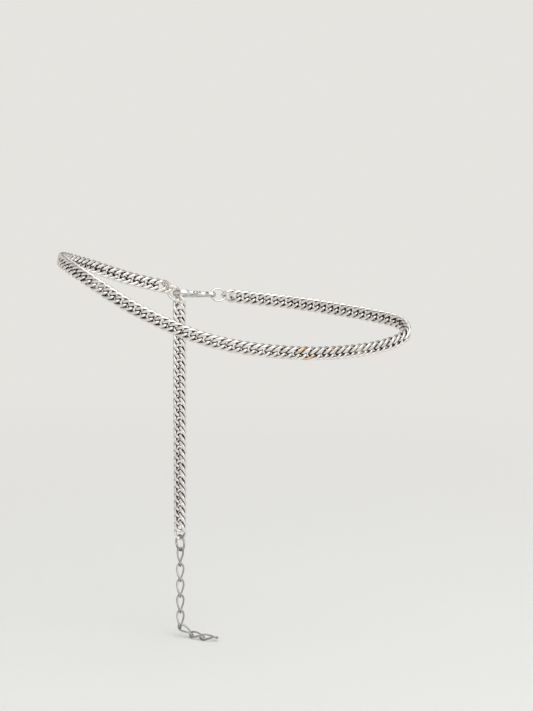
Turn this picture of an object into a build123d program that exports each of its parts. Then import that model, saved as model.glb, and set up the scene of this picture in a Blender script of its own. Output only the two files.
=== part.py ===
from build123d import *
import os
from math import cos, sin, pi, radians

# A payal anklet as it is worn: a double curb chain round the ankle, closed by a lobster claw,
# whose spare end hangs down behind and ends in a short extender chain.
# Millimetres. +X points to the toes, +Y to the far side of the ankle, +Z up.
# The origin is the middle of the space that the ankle fills.

# Curb links: each twisted oval passes through the next two links.
link_wire = 0.54           # across the flats of a link's wire
link_width = 3.42          # outer width across the chain
link_reach = 2.38          # from a link's centre to the centre of its end bow
link_twist = radians(57)   # turn of each end bow out of the chain's face
link_step = 1.85           # from one link to the next
link_facets = 8            # straight pieces round a link
link_sides = 4             # of its wire's section
thread_wide = 0.95         # bar along the thread that joins the links of a stretch
thread_thick = 0.60

loop_links = 107
loop_stretches = 11
first_place = 12.40        # along the route to the first loop link
last_setback = 5.06        # and from the last one to the route's end
tail_links = 32
tail_stretches = 3
tail_turn = -33            # degrees that the hanging chain turns by its end

# One link on its own takes the corner, hooked by the claw.
hold = 1.20                # from bow to bow where one link hangs alone in another
hooked_in = 0.30           # it sits this far towards the ankle
hooked_under = 0.40        # and this far back under the last loop link
tail_shift = (-0.2, -0.3)  # of the spare chain's top, along X and Y

# Route of the worn loop, from the hooked link past the clasp to the shin and round to the heel.
# Columns: place, along X, out Y, height Z, degrees that the chain's face tips up.
route_rows = [
    ("hooked link", -12.8, 22.9, 3.3, 0),
    ("clasp", 0.2, 23.2, 1.7, 0),
    ("far front", 16.2, 19.8, 0.4, -4),
    ("far shin", 33.3, 10.4, -1.0, -8),
    ("far ridge", 41.2, 4.0, -2.2, -12),
    ("near ridge", 41.9, -3.4, -4.3, -14),
    ("near shin", 33.3, -10.6, -6.2, -14),
    ("near front", 16.2, -19.8, -5.8, -12),
    ("near middle", -4.5, -23.6, -2.4, -6),
    ("near back", -22.2, -20.4, 4.4, 6),
    ("near heel", -36.0, -13.0, 11.9, 16),
    ("heel", -42.0, 0.0, 14.3, 16),
    ("far heel", -36.0, 13.0, 11.0, 8),
    ("far back", -25.5, 19.4, 6.6, 0),
]
span_samples = 40

# Lobster claw: a flat drop with an eye at the hook and a hole at its base.
claw_thick = 1.2
claw_rim = 0.8
claw_radius = 2.5
claw_neck_radius = 1.2
claw_neck_place = 7.4
claw_base_place = 9.0      # from the middle of the hook's rim
claw_base_radius = 1.5
claw_hole_radius = 0.85
claw_tilt = radians(20)    # turn of the flat about the claw's length
claw_rounding = 0.3

# Round ring between the claw and the chain's first link.
claw_ring_radius = 1.80    # to the centre of the wire
claw_ring_wire = 0.55
claw_ring_tilt = radians(40)
claw_ring_slack = 0.25

# Round ring between the spare chain and the extender.
tail_ring_radius = 1.92
tail_ring_wire = 0.55
tail_ring_azimuth = radians(122)
tail_ring_slack = 0.30

# Extender: thin oval links with a quarter turn, the last three lying on the ground.
thin_wire = 0.42
thin_length = 5.16
thin_width = 2.50
thin_reach = (thin_length - thin_wire) / 2
thin_twist = pi / 4
thin_facets = 12
thin_sides = 6
thin_step = 4.03
slack_step = 3.70          # where the links lie slack
thin_azimuths = [150, 135, 135, 135, 135]    # ways that the hanging links' middles face
thin_slack = 0.20          # in the ring above
# Columns: name, direction X, Y, Z, lean of its middle from flat on the ground in degrees.
lying_rows = [
    ("coming down", 0.76, -0.50, -0.42, -10),
    ("flat", 0.74, -0.67, -0.03, -15),
    ("last", 0.92, -0.39, 0.06, -15),
]

up = Vector(0, 0, 1)
down = Vector(0, 0, -1)


def smooth_loop(rows):
    """Points along a closed smooth curve through the rows, and the tip of the face at each."""
    knots = [Vector(x, y, z) for place, x, y, z, tip in rows]
    knot_tips = [tip for place, x, y, z, tip in rows]
    count = len(knots)
    points = []
    tips = []
    for index in range(count):
        before, start, end, after = [knots[(index + k) % count] for k in (-1, 0, 1, 2)]
        span = (end - start).length
        leave = (end - before) * (span / (span + (start - before).length))
        arrive = (after - start) * (span / (span + (after - end).length))
        tip_change = knot_tips[(index + 1) % count] - knot_tips[index]
        for sample in range(span_samples):
            f = sample / span_samples
            point = start * (2 * f**3 - 3 * f**2 + 1) + leave * (f**3 - 2 * f**2 + f)
            point = point + end * (3 * f**2 - 2 * f**3) + arrive * (f**3 - f**2)
            points.append(point)
            tips.append(radians(knot_tips[index] + tip_change * (3 * f**2 - 2 * f**3)))
    return points + [points[0]], tips


loop_points, loop_tips = smooth_loop(route_rows)
loop_marks = [0.0]
for first, second in zip(loop_points, loop_points[1:]):
    loop_marks.append(loop_marks[-1] + (second - first).length)
loop_length = loop_marks[-1]


def loop_plane(distance):
    """Plane on the route: x along the chain, y up across it, z out from the ankle."""
    distance = distance % loop_length
    index = max(k for k, mark in enumerate(loop_marks) if mark <= distance)
    start, end = loop_points[index], loop_points[index + 1]
    run = (end - start).normalized()
    level_out = up.cross(run).normalized()
    out = level_out * cos(loop_tips[index]) + run.cross(level_out) * sin(loop_tips[index])
    return Plane(start + run * (distance - loop_marks[index]), x_dir=run, z_dir=out)


def bow(angle, reach, rise, twist):
    """Point on a twisted oval and the way that its flat faces there."""
    turn = -twist * cos(angle)
    height = rise * sin(angle)
    point = Vector(reach * cos(angle), height * cos(turn), height * sin(turn))
    return point, Vector(0, -sin(turn), cos(turn))


def oval_link(reach, width, wire, twist, facets, sides):
    """One twisted link along X, its wire in flat facets."""
    rise = (width - wire) / 2
    corner = wire / 2 / cos(pi / sides)
    rings = []
    for index in range(facets):
        angle = 2 * pi * index / facets
        centre, face = bow(angle, reach, rise, twist)
        ahead = bow(angle + 0.01, reach, rise, twist)[0]
        side = (ahead - centre).cross(face).normalized()
        turns = [-2 * pi * (k + 0.5) / sides for k in range(sides)]
        rings.append([centre + side * (corner * cos(turn)) + face * (corner * sin(turn)) for turn in turns])
    faces = []
    for index, ring in enumerate(rings):
        after = rings[(index + 1) % facets]
        for k in range(sides):
            beside = (k + 1) % sides
            faces.append(Face(Wire.make_polygon([ring[k], ring[beside], after[beside]])))
            faces.append(Face(Wire.make_polygon([ring[k], after[beside], after[k]])))
    return Solid(Shell(faces))


def thread_bar():
    """Bar through the middle of one link, just longer than a step."""
    length = link_step + 0.1
    middle = Location((-length / 2, -thread_wide / 2, -thread_thick / 2))
    return Solid.make_box(length, thread_wide, thread_thick).moved(middle)


link_pattern = oval_link(link_reach, link_width, link_wire, link_twist, link_facets, link_sides)
thread_pattern = thread_bar()


def stretch(planes):
    """Links on the given planes, joined along their thread."""
    links = [link_pattern.moved(plane.location) for plane in planes]
    thread = [thread_pattern.moved(plane.location) for plane in planes[1:-1]]
    return links[0].fuse(*links[1:], *thread)


def split(planes, count):
    """Share a run of planes out over a number of stretches."""
    size = len(planes) / count
    return [planes[round(k * size):round((k + 1) * size)] for k in range(count)]


def claw():
    """The closed lobster claw, with the middle of its hook's rim at the origin and its base along X."""
    head = claw_radius - claw_rim / 2
    eye = claw_radius - claw_rim
    head_disc = Pos(head, 0) * Circle(claw_radius)
    neck_disc = Pos(claw_neck_place, 0) * Circle(claw_neck_radius)
    outline = make_hull((head_disc + neck_disc).edges())
    outline += Pos(claw_base_place, 0) * Circle(claw_base_radius)
    round_eye = Pos(head, 0) * Circle(eye)
    small_eye = Pos(head + 1.6, 0) * Circle(eye - 0.4)
    outline -= make_hull((round_eye + small_eye).edges())
    outline -= Pos(claw_base_place, 0) * Circle(claw_hole_radius)
    body = extrude(outline, claw_thick / 2, both=True)
    flats = body.faces().filter_by(Axis.Z)
    return fillet(flats.edges(), claw_rounding)


def save(shape, name):
    export_step(shape, f"parts/{name}.step")


os.makedirs("parts", exist_ok=True)

# Corner: one link on its own leans down half way, with the claw's hook through it.
corner = loop_plane(0)
out = corner.z_dir
lean = (corner.x_dir + down).normalized()
last_place = loop_length - last_setback
last_loop = loop_plane(last_place)
last_bow = last_loop.origin + last_loop.x_dir * link_reach
hooked_centre = last_bow + lean * (link_reach - hold) - out * hooked_in + out.cross(lean) * hooked_under
hooked_plane = Plane(hooked_centre, x_dir=lean, z_dir=out)
save(link_pattern.moved(hooked_plane.location), "hooked_link")

# The worn loop: the chain round the route, and the claw and its ring across the gap that is left.
step = (last_place - first_place) / (loop_links - 1)
loop_planes = [loop_plane(first_place + k * step) for k in range(loop_links)]
for number, planes in enumerate(split(loop_planes, loop_stretches), 1):
    save(stretch(planes), f"chain_{number:02d}")

first_bow = loop_planes[0].origin - loop_planes[0].x_dir * link_reach
claw_run = (first_bow - hooked_centre).normalized()
claw_out = (out - claw_run * out.dot(claw_run)).normalized()
claw_side = claw_out.cross(claw_run)
claw_across = claw_out * cos(claw_tilt) + claw_side * sin(claw_tilt)
claw_plane = Plane(hooked_centre, x_dir=claw_run, z_dir=claw_run.cross(claw_across))
save(claw().moved(claw_plane.location), "clasp")

ring_inset = claw_ring_radius - (claw_ring_wire + link_wire) / 2 - claw_ring_slack
ring_across = claw_out * cos(claw_ring_tilt) + claw_side * sin(claw_ring_tilt)
ring_plane = Plane(first_bow - claw_run * ring_inset, x_dir=claw_run, z_dir=ring_across)
save(Solid.make_torus(claw_ring_radius, claw_ring_wire / 2, ring_plane), "clasp_ring")

# The spare chain hangs straight down from the hooked link and turns a little on the way.
tail_top = hooked_centre + lean * link_reach + down * (link_reach - hold) + Vector(*tail_shift, 0)
tail_planes = []
for index in range(tail_links):
    azimuth = radians(90 + tail_turn * index / (tail_links - 1))
    facing = Vector(cos(azimuth), sin(azimuth), 0)
    tail_planes.append(Plane(tail_top + down * (index * link_step), x_dir=down, z_dir=facing))
for number, planes in enumerate(split(tail_planes, tail_stretches), 1):
    save(stretch(planes), f"spare_chain_{number}")

# Round ring at the end of the spare chain.
tail_bow = tail_planes[-1].origin + down * link_reach
ring_drop = tail_ring_radius - (link_wire + tail_ring_wire) / 2 - tail_ring_slack
ring_middle = tail_bow + down * ring_drop
ring_side = Vector(cos(tail_ring_azimuth), sin(tail_ring_azimuth), 0)
ring_plane = Plane(ring_middle, x_dir=down, z_dir=down.cross(ring_side))
save(Solid.make_torus(tail_ring_radius, tail_ring_wire / 2, ring_plane), "tail_ring")

# Extender: the hanging links, then those that lie on the ground.
thin_pattern = oval_link(thin_reach, thin_width, thin_wire, thin_twist, thin_facets, thin_sides)
first_drop = tail_ring_radius + thin_reach - (tail_ring_wire + thin_wire) / 2 - thin_slack
centre = ring_middle + down * first_drop
for number, degrees_round in enumerate(thin_azimuths, 1):
    azimuth = radians(degrees_round)
    facing = Vector(cos(azimuth), sin(azimuth), 0)
    plane = Plane(centre, x_dir=down, z_dir=facing)
    save(thin_pattern.moved(plane.location), f"extender_link_{number}")
    joint = centre + down * (thin_step / 2)
    centre = joint + down * (thin_step / 2)
for number, (name, x, y, z, angle) in enumerate(lying_rows, len(thin_azimuths) + 1):
    heading = Vector(x, y, z).normalized()
    level = up.cross(heading).normalized()
    facing = heading.cross(level) * cos(radians(angle)) + level * sin(radians(angle))
    plane = Plane(joint + heading * (slack_step / 2), x_dir=heading, z_dir=facing)
    save(thin_pattern.moved(plane.location), f"extender_link_{number}")
    joint = joint + heading * slack_step
print("route", round(loop_length, 1), "step", round(step, 3), "last joint", joint)
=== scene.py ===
from math import cos, pi, radians, sin

import bpy
import numpy as np
from mathutils import Matrix, Vector


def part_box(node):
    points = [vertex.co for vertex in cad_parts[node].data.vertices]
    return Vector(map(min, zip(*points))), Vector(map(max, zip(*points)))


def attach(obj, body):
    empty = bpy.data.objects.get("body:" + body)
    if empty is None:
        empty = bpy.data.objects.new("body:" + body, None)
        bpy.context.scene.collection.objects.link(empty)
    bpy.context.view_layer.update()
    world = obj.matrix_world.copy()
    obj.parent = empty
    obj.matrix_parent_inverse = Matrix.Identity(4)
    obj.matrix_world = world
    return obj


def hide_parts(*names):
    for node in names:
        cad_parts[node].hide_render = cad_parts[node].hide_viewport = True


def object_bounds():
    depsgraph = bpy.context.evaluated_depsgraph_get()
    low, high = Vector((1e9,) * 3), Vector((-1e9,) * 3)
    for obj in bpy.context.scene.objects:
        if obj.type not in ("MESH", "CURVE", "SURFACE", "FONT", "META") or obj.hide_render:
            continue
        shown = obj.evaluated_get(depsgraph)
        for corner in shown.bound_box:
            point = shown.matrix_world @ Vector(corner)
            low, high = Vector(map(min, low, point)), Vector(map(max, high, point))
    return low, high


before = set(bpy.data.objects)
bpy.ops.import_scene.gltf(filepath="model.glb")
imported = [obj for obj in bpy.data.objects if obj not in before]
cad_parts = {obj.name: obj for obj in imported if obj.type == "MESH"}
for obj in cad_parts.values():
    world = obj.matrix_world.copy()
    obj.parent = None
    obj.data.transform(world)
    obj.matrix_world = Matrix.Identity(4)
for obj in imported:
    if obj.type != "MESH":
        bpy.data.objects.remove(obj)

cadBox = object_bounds()
print("frame loaded, box", [[round(v, 4) for v in corner] for corner in cadBox])

mm = 0.001
up = Vector((0, 0, 1))
down = Vector((0, 0, -1))


chainRoute = {
    # from the hooked link past the clasp to the shin, and round by the heel
    "knots": [(-12.8, 22.9, 3.3), (0.2, 23.2, 1.7), (16.2, 19.8, 0.4), (33.3, 10.4, -1.0),
              (41.2, 4.0, -2.2), (41.9, -3.4, -4.3), (33.3, -10.6, -6.2), (16.2, -19.8, -5.8),
              (-4.5, -23.6, -2.4), (-22.2, -20.4, 4.4), (-36.0, -13.0, 11.9), (-42.0, 0.0, 14.3),
              (-36.0, 13.0, 11.0), (-25.5, 19.4, 6.6)],
    "tips": [0, 0, -4, -8, -12, -14, -14, -12, -6, 6, 16, 16, 8, 0],    # degrees that the face tips up
    "samples": 40,
    "firstLink": 12.40,     # along the route
    "lastLinkBack": 5.06,   # from the route's end
    "loopLinks": 107,
    "reach": 2.38,          # link's middle to the wire of its bow
    "hold": 1.20,           # bow to bow where a link hangs alone
    "hookedIn": 0.30,
    "hookedUnder": 0.40,
    "tailShift": (-0.2, -0.3),
    "tailLinks": 32,
    "tailStep": 1.85,
    "tailTurn": -33,        # degrees by its lower end
}


def smoothLoop(knots, knotTips, samples):
    points, tips = [], []
    count = len(knots)
    for index in range(count):
        before, start, end, after = [Vector(knots[(index + k) % count]) for k in (-1, 0, 1, 2)]
        span = (end - start).length
        leave = (end - before) * (span / (span + (start - before).length))
        arrive = (after - start) * (span / (span + (after - end).length))
        tipChange = knotTips[(index + 1) % count] - knotTips[index]
        for sample in range(samples):
            f = sample / samples
            points.append(start * (2 * f**3 - 3 * f**2 + 1) + leave * (f**3 - 2 * f**2 + f)
                          + end * (3 * f**2 - 2 * f**3) + arrive * (f**3 - f**2))
            tips.append(radians(knotTips[index] + tipChange * (3 * f**2 - 2 * f**3)))
    return points + [points[0]], tips


loopPoints, loopTips = smoothLoop(chainRoute["knots"], chainRoute["tips"], chainRoute["samples"])
loopMarks = [0.0]
for first, second in zip(loopPoints, loopPoints[1:]):
    loopMarks.append(loopMarks[-1] + (second - first).length)
loopLength = loopMarks[-1]


def placeOnLoop(distance):
    distance = distance % loopLength
    index = max(k for k, mark in enumerate(loopMarks) if mark <= distance)
    run = (loopPoints[index + 1] - loopPoints[index]).normalized()
    levelOut = up.cross(run).normalized()
    out = levelOut * cos(loopTips[index]) + run.cross(levelOut) * sin(loopTips[index])
    return loopPoints[index] + run * (distance - loopMarks[index]), run, out


def standing(middle, run, out):
    # matrix of a piece whose x goes along the chain and z away from the ankle
    run = run.normalized()
    out = (out - run * out.dot(run)).normalized()
    side = out.cross(run)
    place = Matrix((run, side, out)).transposed().to_4x4()
    place.translation = middle
    return place


reach = chainRoute["reach"]
slackReach = reach - chainRoute["hold"]
cornerOut = placeOnLoop(0)[2]
lean = (placeOnLoop(0)[1] + down).normalized()
lastPlace = loopLength - chainRoute["lastLinkBack"]
lastMiddle, lastRun = placeOnLoop(lastPlace)[:2]
hookedMiddle = (lastMiddle + lastRun * reach + lean * slackReach - cornerOut * chainRoute["hookedIn"]
                + cornerOut.cross(lean) * chainRoute["hookedUnder"])
loopStep = (lastPlace - chainRoute["firstLink"]) / (chainRoute["loopLinks"] - 1)
firstMiddle, firstRun = placeOnLoop(chainRoute["firstLink"])[:2]
firstBow = firstMiddle - firstRun * reach
tailTop = hookedMiddle + lean * reach + down * slackReach + Vector((*chainRoute["tailShift"], 0))


curbLink = {
    "halfLength": 2.29,     # to the middle of the wire
    "halfWidth": 1.34,
    "wire": 0.74,
    "twist": 0.97,          # turn of each bow out of the chain's face, radians
    "flat": 0.15,           # depth cut off the faces
    "segments": 48,
    "sides": 16,
    "unevenness": 0.15,     # pairs of links sit this much closer
    "wobble": 0.6,          # degrees
}
thinLink = {
    "halfLength": 2.36,
    "halfWidth": 1.00,
    "wire": 0.46,
    "twist": pi / 4,
    "flat": 0.0,
    "segments": 56,
    "sides": 14,
}


def linkShape(spec):
    # vertices and faces of one twisted oval of round wire, in millimetres
    segments, sides = spec["segments"], spec["sides"]
    angle = np.linspace(0, 2 * pi, segments, endpoint=False)

    def middle(t):
        turn = -spec["twist"] * np.cos(t)
        rise = spec["halfWidth"] * np.sin(t)
        return np.stack([spec["halfLength"] * np.cos(t), rise * np.cos(turn), rise * np.sin(turn)], axis=1)

    centre = middle(angle)
    ahead = middle(angle + 0.001) - centre
    ahead /= np.linalg.norm(ahead, axis=1)[:, None]
    turn = -spec["twist"] * np.cos(angle)
    face = np.stack([0 * turn, -np.sin(turn), np.cos(turn)], axis=1)
    side = np.cross(ahead, face)
    side /= np.linalg.norm(side, axis=1)[:, None]
    face = np.cross(side, ahead)
    around = -np.linspace(0, 2 * pi, sides, endpoint=False)
    rim = side[:, None, :] * np.cos(around)[None, :, None]
    rim = rim + face[:, None, :] * np.sin(around)[None, :, None]
    points = centre[:, None, :] + rim * spec["wire"] / 2
    points = points.reshape(-1, 3)
    if spec["flat"]:
        limit = np.abs(points[:, 2]).max() - spec["flat"]
        points[:, 2] = np.clip(points[:, 2], -limit, limit)
    row = np.arange(segments)[:, None] * sides
    nextRow = (np.arange(segments)[:, None] + 1) % segments * sides
    column = np.arange(sides)[None, :]
    nextColumn = (column + 1) % sides
    faces = np.stack([row + column, row + nextColumn, nextRow + nextColumn, nextRow + column], axis=2)
    return points, faces.reshape(-1, 4)


def carry(mesh, label, values):
    # a value at each point, for the finish to read
    held = mesh.attributes.new(label, "FLOAT", "POINT")
    held.data.foreach_set("value", np.asarray(values, dtype=np.float32))


def joinedLinks(name, spec, places, seed, brassPatch=None):
    # one mesh of many links; each carries its own tone and how strongly a brass-coloured patch shows on it
    brassPatch = brassPatch or {}
    wobble = radians(spec.get("wobble", 0))
    random = np.random.default_rng(seed)
    points, faces = linkShape(spec)
    allPoints, allFaces, tones, brassShare = [], [], [], []
    for index, place in enumerate(places):
        roll = Matrix.Rotation(random.normal() * wobble, 4, "X")
        pitch = Matrix.Rotation(random.normal() * wobble / 2, 4, "Y")
        matrix = np.array(place @ (roll @ pitch))
        allPoints.append(points @ matrix[:3, :3].T + matrix[:3, 3])
        allFaces.append(faces + index * len(points))
        tones.append(np.full(len(points), random.random()))
        brassShare.append(np.full(len(points), brassPatch.get(index, 0.0)))
    mesh = bpy.data.meshes.new(name)
    mesh.from_pydata((np.concatenate(allPoints) * mm).tolist(), [], np.concatenate(allFaces).tolist())
    carry(mesh, "linkTone", np.concatenate(tones))
    carry(mesh, "brassPatch", np.concatenate(brassShare))
    mesh.shade_smooth()
    mesh.set_sharp_from_angle(angle=radians(26))    # keeps the flats' edges crisp
    piece = bpy.data.objects.new(name, mesh)
    bpy.context.scene.collection.objects.link(piece)
    return piece


def alternate(index):
    return curbLink["unevenness"] * (1 if index % 2 else -1) / 2


loopPlaces = []
for index in range(chainRoute["loopLinks"]):
    place = placeOnLoop(chainRoute["firstLink"] + index * loopStep + alternate(index))
    loopPlaces.append(standing(*place))
tailPlaces = []
for index in range(chainRoute["tailLinks"]):
    azimuth = radians(90 + chainRoute["tailTurn"] * index / (chainRoute["tailLinks"] - 1))
    middle = tailTop + down * (index * chainRoute["tailStep"] + alternate(index))
    tailPlaces.append(standing(middle, down, Vector((cos(azimuth), sin(azimuth), 0))))

stretchNames = [f"chain_{number:02d}" for number in range(1, 12)]
chainFar = joinedLinks("curb_chain_far", curbLink, loopPlaces[:38], 3)
# links 3 and 8 of this stretch carry brass-coloured patches
chainNear = joinedLinks("curb_chain_near", curbLink, loopPlaces[38:76], 4, brassPatch={3: 0.45, 8: 0.9})
chainHeel = joinedLinks("curb_chain_heel", curbLink, loopPlaces[76:], 5)
spareChain = joinedLinks("curb_chain_spare", curbLink, tailPlaces, 6)
hookedLink = joinedLinks("curb_link_hooked", curbLink, [standing(hookedMiddle, lean, cornerOut)], 7)
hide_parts(*stretchNames[:4])
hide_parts(*stretchNames[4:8])
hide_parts(*stretchNames[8:])
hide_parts("spare_chain_1", "spare_chain_2", "spare_chain_3")
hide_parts("hooked_link")
print("curb links made, step", round(loopStep, 3))

# extender: five hanging links, three on the ground
extender = {
    "azimuths": [150, 135, 135, 135, 135],
    "ringRadius": 1.92,
    "ringWire": 0.55,
    "ringAzimuth": 122,
    "lying": [((0.76, -0.50, -0.42), -10), ((0.74, -0.67, -0.03), -15), ((0.92, -0.39, 0.06), -15)],
    "lyingLift": 0.09,
}


def middleOf(node):
    low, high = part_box(node)
    return (Vector(low) + Vector(high)) / 2 / mm


extenderPieces = []
for number, azimuth in enumerate(extender["azimuths"], 1):
    out = Vector((cos(radians(azimuth)), sin(radians(azimuth)), 0))
    place = standing(middleOf(f"extender_link_{number}"), down, out)
    extenderPieces.append(joinedLinks(f"thin_link_{number}", thinLink, [place], 20 + number))
for number, (heading, turn) in enumerate(extender["lying"], len(extender["azimuths"]) + 1):
    run = Vector(heading).normalized()
    level = up.cross(run).normalized()
    out = run.cross(level) * cos(radians(turn)) + level * sin(radians(turn))
    place = standing(middleOf(f"extender_link_{number}") + up * extender["lyingLift"], run, out)
    extenderPieces.append(joinedLinks(f"thin_link_{number}", thinLink, [place], 20 + number))
for number, piece in enumerate(extenderPieces, 1):
    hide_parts(f"extender_link_{number}")
print("extender made")


def wireRing(name, radius, wire, place, gapAt=0.0, segments=72, sides=16):
    # round ring of wire whose ends nearly meet
    openHalf = 0.03    # half the gap between the ends, millimetres
    gap = openHalf / radius
    angle = gapAt + np.linspace(gap, 2 * pi - gap, segments)
    around = np.linspace(0, 2 * pi, sides, endpoint=False)
    rim = radius + wire / 2 * np.cos(around)[None, :]
    points = np.stack([rim * np.cos(angle)[:, None], rim * np.sin(angle)[:, None],
                       np.broadcast_to(wire / 2 * np.sin(around)[None, :], (segments, sides))], axis=2)
    matrix = np.array(place)
    points = points.reshape(-1, 3) @ matrix[:3, :3].T + matrix[:3, 3]
    faces = []
    for index in range(segments - 1):
        here = index * sides
        ahead = here + sides
        for k in range(sides):
            beside = (k + 1) % sides
            faces.append((here + k, ahead + k, ahead + beside, here + beside))
    faces.append(tuple(range(sides)))
    faces.append(tuple(reversed(range((segments - 1) * sides, segments * sides))))
    mesh = bpy.data.meshes.new(name)
    mesh.from_pydata((points * mm).tolist(), [], faces)
    carry(mesh, "linkTone", np.full(len(points), 0.5))
    mesh.shade_smooth()
    mesh.set_sharp_from_angle(angle=radians(35))
    piece = bpy.data.objects.new(name, mesh)
    bpy.context.scene.collection.objects.link(piece)
    return piece


ringAngle = radians(extender["ringAzimuth"])
ringSide = Vector((cos(ringAngle), sin(ringAngle), 0))
tailRing = wireRing("round_ring_tail", extender["ringRadius"], extender["ringWire"],
                    standing(middleOf("tail_ring"), down, down.cross(ringSide)), 1.3)
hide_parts("tail_ring")


claw = {
    "headRadius": 2.5,
    "rim": 0.8,
    "basePlace": 9.0,
    "baseRadius": 1.5,
    "holeRadius": 0.85,
    "thick": 1.2,
    "tilt": 20,
    "ringRadius": 1.80,
    "ringWire": 0.55,
    "ringTilt": 40,
}
clawRun = (firstBow - hookedMiddle).normalized()
clawOut = (cornerOut - clawRun * cornerOut.dot(clawRun)).normalized()
clawSide = clawOut.cross(clawRun)
clawAcross = clawOut * cos(radians(claw["tilt"])) + clawSide * sin(radians(claw["tilt"]))
clawPlace = standing(hookedMiddle, clawRun, clawRun.cross(clawAcross))
ringAcross = clawOut * cos(radians(claw["ringTilt"])) + clawSide * sin(radians(claw["ringTilt"]))
claspRing = wireRing("round_ring_clasp", claw["ringRadius"], claw["ringWire"],
                     standing(middleOf("clasp_ring"), clawRun, ringAcross), 2.2)
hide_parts("clasp_ring")


def arc(x, radius, start, end, count):
    # points round a centre on the claw's middle line, from one angle in degrees to another
    angles = [radians(a) for a in np.linspace(start, end, count)]
    return [(x + radius * cos(a), radius * sin(a)) for a in angles]


def sweptBar(path, widths, thick, closed=False, samples=6, sides=20, squareness=0.72):
    # a rounded bar along a flat path, its width given at each point; ends are drawn in to a dome
    path, widths = np.array(path, float), np.array(widths, float)
    count = len(path)
    spans = count if closed else count - 1

    def at(values, index):
        return values[index % count] if closed else values[min(max(index, 0), count - 1)]

    middles, halves = [], []
    for index in range(spans):
        for sample in range(samples):
            f = sample / samples
            p0, p1, p2, p3 = [at(path, index + k) for k in (-1, 0, 1, 2)]
            middles.append(p1 + f * (p2 - p0) / 2 + f * f * (2 * p0 - 5 * p1 + 4 * p2 - p3) / 2
                           + f**3 * (3 * p1 - p0 - 3 * p2 + p3) / 2)
            halves.append(at(widths, index) * (1 - f) + at(widths, index + 1) * f)
    if not closed:
        middles.append(path[-1])
        halves.append(widths[-1])
    middles, halves = np.array(middles), np.array(halves) / 2
    if closed:
        ahead = np.roll(middles, -1, axis=0) - np.roll(middles, 1, axis=0)
    else:
        ahead = np.gradient(middles, axis=0)
    ahead /= np.linalg.norm(ahead, axis=1)[:, None]
    draw = np.ones(len(middles))
    if not closed:    # domes: extra rings past each end
        dome = np.linspace(85, 15, 5)
        first = middles[0] - ahead[0] * (halves[0] * np.sin(np.radians(dome)))[:, None]
        last = middles[-1] + ahead[-1] * (halves[-1] * np.sin(np.radians(dome[::-1])))[:, None]
        middles = np.concatenate([first, middles, last])
        shrink = np.cos(np.radians(dome))
        draw = np.concatenate([shrink, draw, shrink[::-1]])
        halves = np.concatenate([np.full(5, halves[0]), halves, np.full(5, halves[-1])])
        ahead = np.concatenate([np.repeat(ahead[:1], 5, axis=0), ahead, np.repeat(ahead[-1:], 5, axis=0)])
    turn = np.linspace(0, 2 * pi, sides, endpoint=False)
    across = np.sign(np.cos(turn)) * np.abs(np.cos(turn))**squareness
    upright = np.sign(np.sin(turn)) * np.abs(np.sin(turn))**squareness
    side = np.stack([-ahead[:, 1], ahead[:, 0]], axis=1)
    flat = middles[:, None, :] + side[:, None, :] * (across[None, :] * (halves * draw)[:, None])[:, :, None]
    lift = upright[None, :] * (thick / 2 * draw)[:, None]
    points = np.concatenate([flat, lift[:, :, None]], axis=2).reshape(-1, 3)
    rings = len(middles)
    faces = []
    for index in range(rings if closed else rings - 1):
        here = index * sides
        after = (index + 1) % rings * sides
        for k in range(sides):
            beside = (k + 1) % sides
            faces.append((here + k, here + beside, after + beside, after + k))
    if not closed:
        faces.append(tuple(reversed(range(sides))))
        faces.append(tuple(range((rings - 1) * sides, rings * sides)))
    return points, faces


head = claw["headRadius"] - claw["rim"] / 2    # radius and place of the rim's middle
baseRing = (claw["baseRadius"] + claw["holeRadius"]) / 2
thick = claw["thick"]
clawBars = [
    # hook: from the palm up the closed side and round the head to its tip
    sweptBar([(7.9, 0.30), (7.0, 0.62), (5.9, 1.02), (4.6, 1.46)] + arc(head, head, 58, 296, 12),
             [1.5, 1.5, 1.25, 1.05] + [0.90, 0.84] + [0.80] * 8 + [0.72, 0.60], thick),
    # palm
    sweptBar([(5.5, 0.55), (6.1, 0.20), (6.9, 0.0), (7.9, 0.0)], [0.7, 1.5, 1.9, 1.6], thick * 0.98),
    # lever: from its pivot down the open side to the hook's tip
    sweptBar([(6.5, -0.42), (5.8, -0.85), (5.0, -1.25), (4.2, -1.58)] + arc(head, head, 313, 303, 2),
             [1.1, 0.95, 0.80, 0.70, 0.62, 0.52], thick * 0.74),
    # thumb nub on the lever
    sweptBar([(5.55, -1.15), (5.35, -1.65), (5.05, -2.05)], [0.75, 0.55, 0.50], thick * 0.74),
    # pivot rivet, and the eye at the base
    sweptBar([(6.02, -0.62), (6.10, -0.60), (6.18, -0.58)], [0.62, 0.66, 0.62], thick * 1.14,
             squareness=0.5),
    sweptBar([(claw["basePlace"] + x, y) for x, y in arc(0, baseRing, 0, 330, 12)],
             [claw["baseRadius"] - claw["holeRadius"]] * 12, thick * 0.8, closed=True, samples=4),
]
points, faces = [], []
matrix = np.array(clawPlace)
for barPoints, barFaces in clawBars:
    faces += [[len(points) + v for v in face] for face in barFaces]
    points += ((barPoints @ matrix[:3, :3].T + matrix[:3, 3]) * mm).tolist()
claspMesh = bpy.data.meshes.new("lobster_claw")
claspMesh.from_pydata(points, [], faces)
claspMesh.shade_smooth()
carry(claspMesh, "linkTone", np.full(len(points), 0.5))
clasp = bpy.data.objects.new("lobster_claw", claspMesh)
bpy.context.scene.collection.objects.link(clasp)
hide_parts("clasp")
print("clasp made")


def newGroup(name, inputs, outputs):
    group = bpy.data.node_groups.new(name, "ShaderNodeTree")
    for label, kind, value in inputs:
        socket = group.interface.new_socket(label, in_out="INPUT", socket_type=kind)
        socket.default_value = value
    for label, kind in outputs:
        group.interface.new_socket(label, in_out="OUTPUT", socket_type=kind)
    return group, group.nodes.new("NodeGroupInput").outputs, group.nodes.new("NodeGroupOutput").inputs


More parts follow.
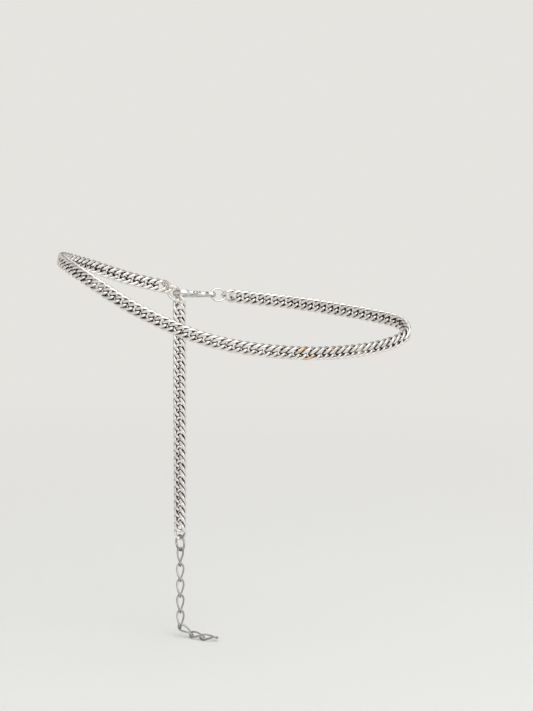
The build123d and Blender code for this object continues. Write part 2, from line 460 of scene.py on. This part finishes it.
def addNode(tree, kind, feeds=(), values=(), **settings):
    # a node with its settings, what feeds its sockets and the plain values of others
    made = tree.nodes.new(kind)
    for key, value in settings.items():
        setattr(made, key, value)
    for socket, source in dict(feeds).items():
        tree.links.new(source, made.inputs[socket])
    for socket, value in dict(values).items():
        made.inputs[socket].default_value = value
    return made


# plate: each link's own tone, a cloudy polish, fine scratches, and painted shade where links cross: the
# colour darkens in the crevices
plateGroup, plateIn, plateOut = newGroup(
    "plated metal",
    [("Light", "NodeSocketColor", (0.9, 0.9, 0.9, 1)), ("Dark", "NodeSocketColor", (0.7, 0.7, 0.7, 1)),
     ("Brass Patch", "NodeSocketColor", (0.7, 0.45, 0.2, 1)),
     ("Painted Shade", "NodeSocketColor", (0.1, 0.1, 0.1, 1)), ("Cloud Scale", "NodeSocketFloat", 900.0),
     ("Scratch Scale", "NodeSocketFloat", 6000.0), ("Crevice Width", "NodeSocketFloat", 0.001),
     ("Smooth", "NodeSocketFloat", 0.1), ("Rough", "NodeSocketFloat", 0.3)],
    [("Color", "NodeSocketColor"), ("Roughness", "NodeSocketFloat"), ("Height", "NodeSocketFloat")])
where = addNode(plateGroup, "ShaderNodeTexCoord").outputs["Object"]
linkTone = addNode(plateGroup, "ShaderNodeAttribute", attribute_name="linkTone").outputs["Fac"]
cloud = addNode(plateGroup, "ShaderNodeTexNoise", {"Vector": where, "Scale": plateIn["Cloud Scale"]},
                {"Detail": 3}).outputs["Fac"]
drawn = addNode(plateGroup, "ShaderNodeMapping", {"Vector": where},
                {"Scale": (1, 1, 0.25)}).outputs["Vector"]
scratch = addNode(plateGroup, "ShaderNodeTexNoise", {"Vector": drawn, "Scale": plateIn["Scratch Scale"]},
                  {"Detail": 2}).outputs["Fac"]
toneSum = addNode(plateGroup, "ShaderNodeMath", {0: linkTone, 2: cloud}, {1: 0.5}, operation="MULTIPLY_ADD")
toneMask = addNode(plateGroup, "ShaderNodeMapRange", {"Value": toneSum.outputs[0]},
                   {"From Min": 0.35, "From Max": 1.15}, interpolation_type="SMOOTHSTEP")
plateTone = addNode(plateGroup, "ShaderNodeMix", {"Factor": toneMask.outputs[0], 6: plateIn["Light"],
                                                  7: plateIn["Dark"]}, data_type="RGBA")
# brass-coloured patches where the cloud noise rises past about one half, on links given a share
brassAt = addNode(plateGroup, "ShaderNodeAttribute", attribute_name="brassPatch").outputs["Fac"]
patch = addNode(plateGroup, "ShaderNodeMapRange", {"Value": cloud}, {"From Min": 0.46, "From Max": 0.56})
brassMask = addNode(plateGroup, "ShaderNodeMath", {0: brassAt, 1: patch.outputs[0]}, operation="MULTIPLY")
patchedTone = addNode(plateGroup, "ShaderNodeMix", {"Factor": brassMask.outputs[0], 6: plateTone.outputs[2],
                                                 7: plateIn["Brass Patch"]}, data_type="RGBA")
# painted shade: ambient occlusion darkens the colour to near black in the crevices between links, and
# roughens it there
openness = addNode(plateGroup, "ShaderNodeAmbientOcclusion", {"Distance": plateIn["Crevice Width"]},
                   samples=8, only_local=True).outputs["AO"]
crevice = addNode(plateGroup, "ShaderNodeMapRange", {"Value": openness},
                  {"From Min": 0.74, "From Max": 0.28})
paintedShadeTone = addNode(plateGroup, "ShaderNodeMix", {"Factor": crevice.outputs[0], 6: patchedTone.outputs[2],
                                                  7: plateIn["Painted Shade"]}, data_type="RGBA")
plateGroup.links.new(paintedShadeTone.outputs[2], plateOut["Color"])
polish = addNode(plateGroup, "ShaderNodeMapRange", {"Value": scratch, "To Min": plateIn["Smooth"],
                                                    "To Max": plateIn["Rough"]},
                 {"From Min": 0.3, "From Max": 0.7})
dulled = addNode(plateGroup, "ShaderNodeMath", {0: crevice.outputs[0], 2: polish.outputs[0]}, {1: 0.3},
                 operation="MULTIPLY_ADD")
plateGroup.links.new(dulled.outputs[0], plateOut["Roughness"])
relief = addNode(plateGroup, "ShaderNodeMath", {0: cloud, 2: scratch}, {1: 0.6}, operation="MULTIPLY_ADD")
plateGroup.links.new(relief.outputs[0], plateOut["Height"])

# the darkest colour of each plate is painted shade for the crevices between links
plates = {
    "curb plate": {
        "light": (0.935, 0.893, 0.860), "dark": (0.80, 0.758, 0.725), "painted shade": (0.07, 0.066, 0.066),
        "edge": 0.62, "smooth": 0.17, "rough": 0.32, "cloud": 700, "crevice": 0.0015, "bump": 0.12,
    },
    "clasp plate": {
        "light": (0.80, 0.785, 0.77), "dark": (0.64, 0.625, 0.61), "painted shade": (0.10, 0.10, 0.10),
        "edge": 0.5, "smooth": 0.08, "rough": 0.20, "cloud": 500, "crevice": 0.0006, "bump": 0.12,
    },
    # painted shade: the extender's darker colours stand in for the dark surroundings its thin wires would
    # reflect
    "extender plate": {
        "light": (0.50, 0.495, 0.485), "dark": (0.36, 0.355, 0.345), "painted shade": (0.08, 0.08, 0.08),
        "edge": 0.15, "smooth": 0.18, "rough": 0.34, "cloud": 900, "crevice": 0.0006, "bump": 0.2,
    },
}
grainDepth = 0.00004


def plateMaterial(name):
    finish = plates[name]
    material = bpy.data.materials.new(name)
    material.use_nodes = True
    tree = material.node_tree
    shader = tree.nodes["Principled BSDF"]
    shader.inputs["Metallic"].default_value = 1.0
    shader.inputs["Specular Tint"].default_value = (finish["edge"], finish["edge"], finish["edge"], 1)
    plate = addNode(tree, "ShaderNodeGroup", node_tree=plateGroup)
    for label in ("light", "dark", "painted shade"):
        plate.inputs[label.title()].default_value = (*finish[label], 1)
    plate.inputs["Smooth"].default_value = finish["smooth"]
    plate.inputs["Rough"].default_value = finish["rough"]
    plate.inputs["Cloud Scale"].default_value = finish["cloud"]
    plate.inputs["Crevice Width"].default_value = finish["crevice"]
    grain = addNode(tree, "ShaderNodeBump", {"Height": plate.outputs["Height"]},
                    {"Strength": finish["bump"], "Distance": grainDepth})
    tree.links.new(plate.outputs["Color"], shader.inputs["Base Color"])
    tree.links.new(plate.outputs["Roughness"], shader.inputs["Roughness"])
    tree.links.new(grain.outputs["Normal"], shader.inputs["Normal"])
    return material


curbPlate, claspPlate, thinPlate = [plateMaterial(name) for name in plates]

curbPieces = [chainFar, chainNear, chainHeel, spareChain, hookedLink]
claspPieces = [clasp, claspRing]
thinPieces = [tailRing] + extenderPieces
for piece in curbPieces:
    piece.data.materials.append(curbPlate)
for piece in claspPieces:
    piece.data.materials.append(claspPlate)
for piece in thinPieces:
    piece.data.materials.append(thinPlate)
for piece in curbPieces + claspPieces + thinPieces:
    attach(piece, "root")
print("finishes made")


room = {
    "paperColour": (0.91, 0.91, 0.895),
    "farColour": (0.785, 0.775, 0.745),    # where it lies out of the lamps' reach
    "farFrom": 0.12,
    "farBy": 0.42,
    "flatRadius": 2.1,
    "bend": 0.6,
    "height": 1.1,
    "grain": 380.0,
    "below": 0.00001,
    "bendSteps": 12,
    "parts": 96,
    "fibreTone": 0.985,
}
floorHeight = cadBox[0][2] - room["below"]
flat, bend = room["flatRadius"], room["bend"]
profile = [(0.02, 0.0), (0.3, 0.0), (flat, 0.0)]    # radius and height, from the middle outwards
for step in range(1, room["bendSteps"] + 1):
    angle = pi / 2 * step / room["bendSteps"]
    profile.append((flat + bend * sin(angle), bend * (1 - cos(angle))))
profile.append((flat + bend, room["height"]))
parts = room["parts"]
around = [2 * pi * k / parts for k in range(parts)]
points = [(r * cos(a), r * sin(a), floorHeight + z) for r, z in profile for a in around]
faces = []
for row in range(len(profile) - 1):
    here = row * parts
    after = here + parts
    for k in range(parts):
        beside = (k + 1) % parts
        faces.append((here + k, here + beside, after + beside, after + k))
faces.append(tuple(reversed(range(parts))))
paperMesh = bpy.data.meshes.new("round_paper_floor")
paperMesh.from_pydata(points, [], faces)
paperMesh.shade_smooth()
paperFloor = bpy.data.objects.new("round_paper_floor", paperMesh)
bpy.context.scene.collection.objects.link(paperFloor)

paper = bpy.data.materials.new("pale paper")
paper.use_nodes = True
tree = paper.node_tree
shader = tree.nodes["Principled BSDF"]
shader.inputs["Roughness"].default_value = 0.9
where = addNode(tree, "ShaderNodeTexCoord").outputs["Object"]
fibre = addNode(tree, "ShaderNodeTexNoise", {"Vector": where},
                {"Scale": room["grain"], "Detail": 4}).outputs["Fac"]
fibreColour = [c * room["fibreTone"] for c in room["paperColour"]]
paperTone = addNode(tree, "ShaderNodeMix", {"Factor": fibre},
                    {6: (*room["paperColour"], 1), 7: (*fibreColour, 1)}, data_type="RGBA")
fibreRelief = addNode(tree, "ShaderNodeBump", {"Height": fibre}, {"Strength": 0.15, "Distance": 0.0002})
tree.links.new(paperTone.outputs[2], shader.inputs["Base Color"])
tree.links.new(fibreRelief.outputs["Normal"], shader.inputs["Normal"])
farOff = addNode(tree, "ShaderNodeVectorMath", {0: where}, operation="LENGTH").outputs["Value"]
farMask = addNode(tree, "ShaderNodeMapRange", {"Value": farOff},
                  {"From Min": room["farFrom"], "From Max": room["farBy"]},
                  interpolation_type="SMOOTHSTEP").outputs[0]
ray = addNode(tree, "ShaderNodeLightPath").outputs
seen = ray["Is Camera Ray"]
for kind in ("Is Glossy Ray", "Is Transmission Ray"):
    seen = addNode(tree, "ShaderNodeMath", {0: seen, 1: ray[kind]}, operation="MAXIMUM").outputs[0]
share = addNode(tree, "ShaderNodeMath", {0: farMask, 1: seen}, operation="MULTIPLY")
farGlow = addNode(tree, "ShaderNodeEmission", {}, {"Color": (*room["farColour"], 1), "Strength": 1.0})
paperMix = addNode(tree, "ShaderNodeMixShader",
                   {0: share.outputs[0], 1: shader.outputs[0], 2: farGlow.outputs[0]})
tree.links.new(paperMix.outputs[0], tree.nodes["Material Output"].inputs["Surface"])
paperMesh.materials.append(paper)

world = bpy.data.worlds.new("soft room")
bpy.context.scene.world = world
world.use_nodes = True
world.node_tree.nodes["Background"].inputs["Color"].default_value = (1.0, 0.99, 0.97, 1)
world.node_tree.nodes["Background"].inputs["Strength"].default_value = 0.35


def softLamp(name, place, target, size, watts):
    lamp = bpy.data.lights.new(name, "AREA")
    lamp.shape = "SQUARE"
    lamp.size = size
    lamp.energy = watts
    holder = bpy.data.objects.new(name, lamp)
    holder.location = place
    holder.rotation_euler = (Vector(target) - Vector(place)).to_track_quat("-Z", "Y").to_euler()
    holder.visible_camera = False
    bpy.context.scene.collection.objects.link(holder)


softLamp("key", (0.35, -0.95, 0.85), (0, 0, 0), 1.9, 10.8)
softLamp("fill", (0.85, -0.85, 0.4), (0, 0, 0), 1.3, 3.7)
softLamp("top", (0.1, 0.1, 1.15), (0, 0, 0), 1.4, 5.4)

shot = {
    "aim": (8.2, 0.0, -9.6),
    "distance": 1035.0,
    "elevation": 9.2,
    "lens": 284.5,
}
camera = bpy.data.cameras.new("camera")
camera.lens = shot["lens"]
camera.sensor_width = 36
camera.sensor_fit = "HORIZONTAL"
camera.clip_start = 0.01
camera.clip_end = 20
cameraHolder = bpy.data.objects.new("camera", camera)
tilt = radians(shot["elevation"])
aim = Vector(shot["aim"]) * mm
cameraHolder.location = aim + Vector((0, -cos(tilt), sin(tilt))) * shot["distance"] * mm
cameraHolder.rotation_euler = (radians(90) - tilt, 0, 0)
bpy.context.scene.collection.objects.link(cameraHolder)
bpy.context.scene.camera = cameraHolder
bpy.context.scene.view_settings.view_transform = "Standard"
print("stage, light and camera set")
